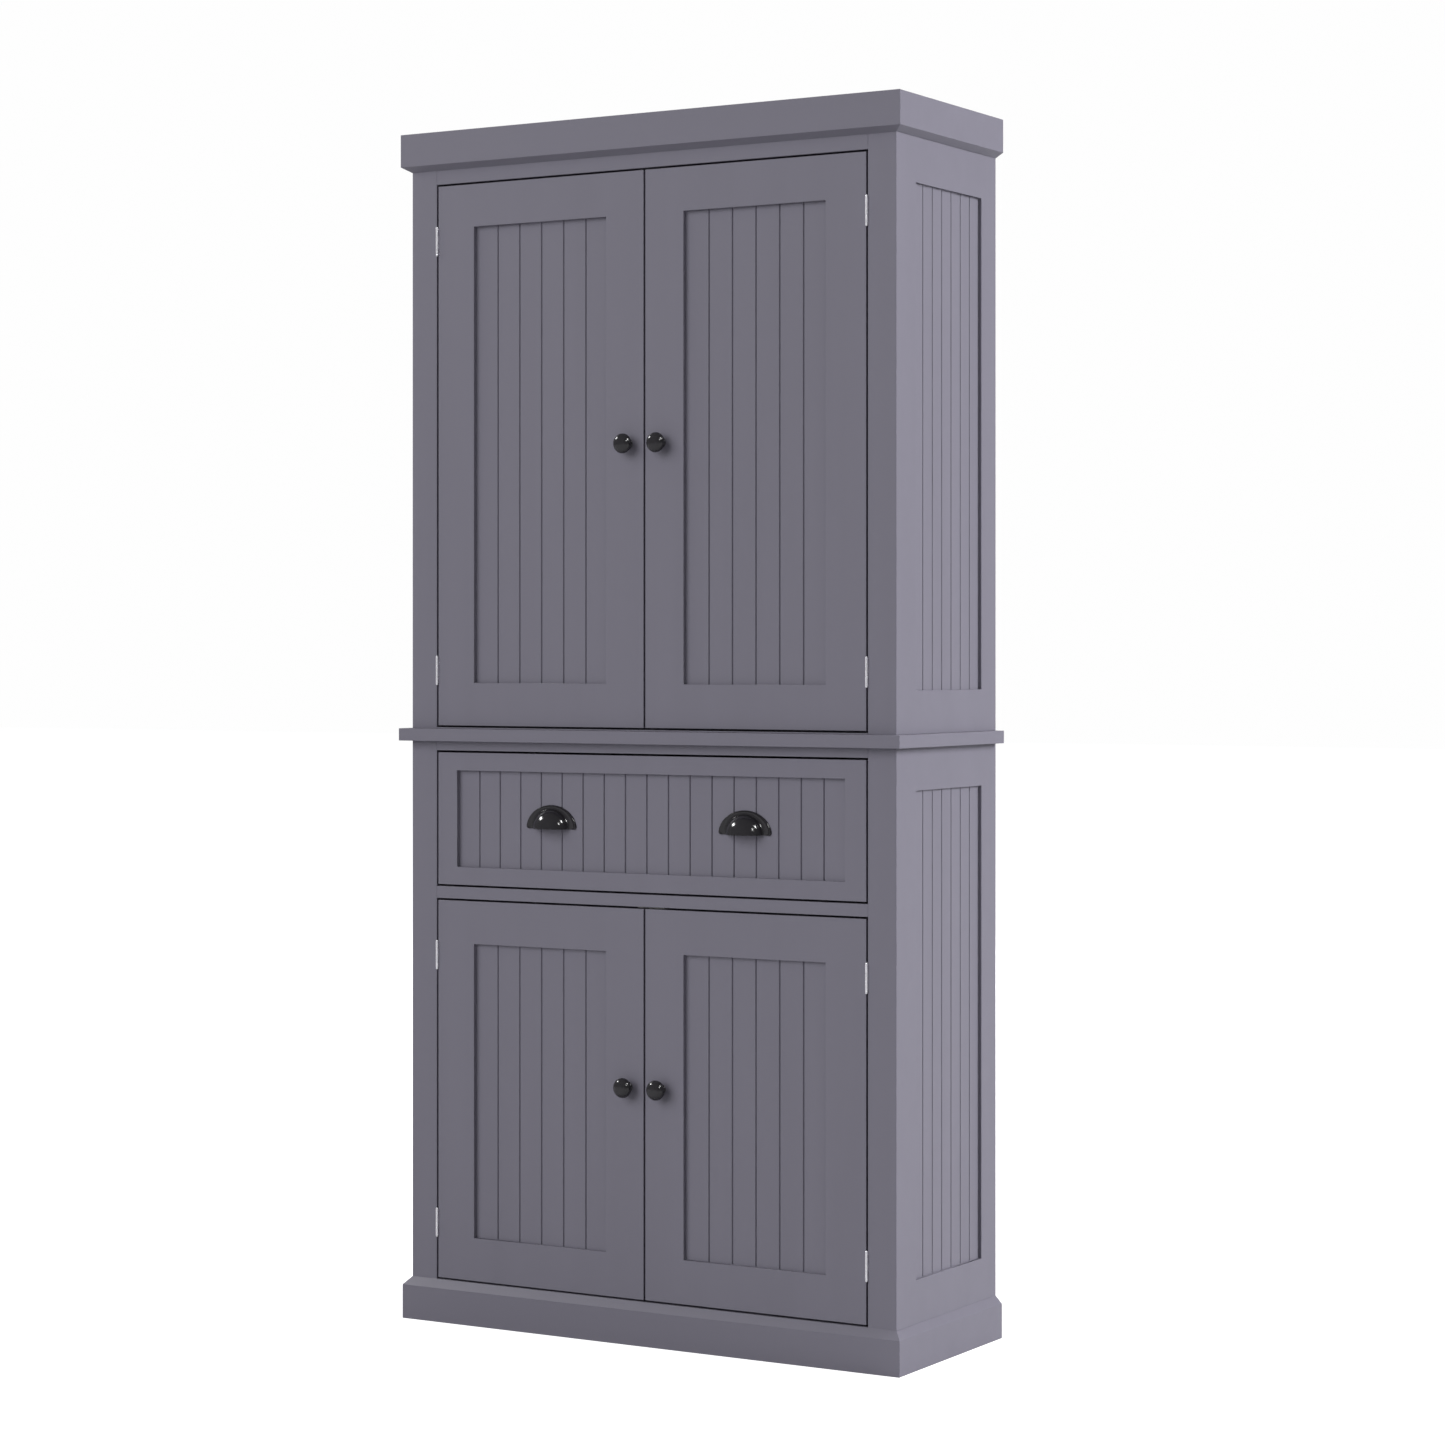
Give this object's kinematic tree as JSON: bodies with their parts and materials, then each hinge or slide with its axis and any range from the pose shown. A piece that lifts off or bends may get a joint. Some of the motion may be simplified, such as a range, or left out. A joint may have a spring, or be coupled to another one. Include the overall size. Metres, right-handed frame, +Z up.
{
  "type": "pantry cabinet",
  "caption": "Tall two-section pantry cabinet with inset beadboard doors above and below a full-width drawer, black knobs and cup pulls.",
  "frame": {"origin": "bottom centre of the whole cabinet's bounding box, on the floor", "axes": "+Z up, the doors face -Y, +X is on the right of a viewer who faces the doors"},
  "size_m": [0.874, 0.347, 1.829],
  "materials": {
    "paint": "satin blue-grey paint on smooth fibreboard",
    "hardboard": "thin fibreboard, painted on its inner face",
    "black_metal": "glossy black enamel on cast zinc",
    "nickel": "satin nickel plate",
    "zinc": "bright zinc plate on pressed steel"
  },
  "bodies": {
    "carcass": {"upper_side_left": "paint", "upper_stile_left": "paint", "upper_side_right": "paint", "upper_stile_right": "paint", "lower_side_left": "paint", "lower_stile_left": "paint", "lower_side_right": "paint", "lower_stile_right": "paint", "mid_rail": "paint", "drawer_top_rail": "paint", "upper_top_rail": "paint", "lower_floor": "paint", "upper_floor": "paint", "waist_board": "paint", "top_board": "paint", "back_panel": "hardboard", "lower_shelf": "paint", "upper_shelf_low": "paint", "upper_shelf_high": "paint", "plinth_front": "paint", "plinth_left": "paint", "plinth_right": "paint", "crown_front": "paint", "crown_left": "paint", "crown_right": "paint", "cabinet_runner_left": "zinc", "cabinet_runner_right": "zinc", "upper_left_top_hinge_frame_leaf": "nickel", "upper_left_bottom_hinge_frame_leaf": "nickel", "upper_right_top_hinge_frame_leaf": "nickel", "upper_right_bottom_hinge_frame_leaf": "nickel", "lower_left_top_hinge_frame_leaf": "nickel", "lower_left_bottom_hinge_frame_leaf": "nickel", "lower_right_top_hinge_frame_leaf": "nickel", "lower_right_bottom_hinge_frame_leaf": "nickel"},
    "upper_left_door": {"upper_door_left": "paint", "upper_knob_left": "black_metal", "upper_left_top_hinge_door_leaf": "nickel", "upper_left_bottom_hinge_door_leaf": "nickel"},
    "upper_right_door": {"upper_door_right": "paint", "upper_knob_right": "black_metal", "upper_right_top_hinge_door_leaf": "nickel", "upper_right_bottom_hinge_door_leaf": "nickel"},
    "lower_left_door": {"lower_door_left": "paint", "lower_knob_left": "black_metal", "lower_left_top_hinge_door_leaf": "nickel", "lower_left_bottom_hinge_door_leaf": "nickel"},
    "lower_right_door": {"lower_door_right": "paint", "lower_knob_right": "black_metal", "lower_right_top_hinge_door_leaf": "nickel", "lower_right_bottom_hinge_door_leaf": "nickel"},
    "drawer": {"drawer_front": "paint", "drawer_side_left": "paint", "drawer_side_right": "paint", "drawer_back": "paint", "drawer_bottom": "hardboard", "drawer_runner_left": "zinc", "drawer_runner_right": "zinc", "cup_pull_left": "black_metal", "cup_pull_right": "black_metal"}
  },
  "joints": [
    {"name": "upper_left_door_hinge", "type": "hinge", "parent": "carcass", "child": "upper_left_door", "pos_m": [-0.3755, -0.1501, 1.3], "axis": [0, 0, -1], "range_deg": [0, 170]},
    {"name": "upper_right_door_hinge", "type": "hinge", "parent": "carcass", "child": "upper_right_door", "pos_m": [0.3755, -0.1501, 1.3], "axis": [0, 0, 1], "range_deg": [0, 170]},
    {"name": "lower_left_door_hinge", "type": "hinge", "parent": "carcass", "child": "lower_left_door", "pos_m": [-0.3755, -0.1501, 0.36], "axis": [0, 0, -1], "range_deg": [0, 170]},
    {"name": "lower_right_door_hinge", "type": "hinge", "parent": "carcass", "child": "lower_right_door", "pos_m": [0.3755, -0.1501, 0.36], "axis": [0, 0, 1], "range_deg": [0, 170]},
    {"name": "drawer_slide", "type": "slide", "parent": "carcass", "child": "drawer", "axis": [0, -1, 0], "range_m": [0, 0.22]}
  ]
}
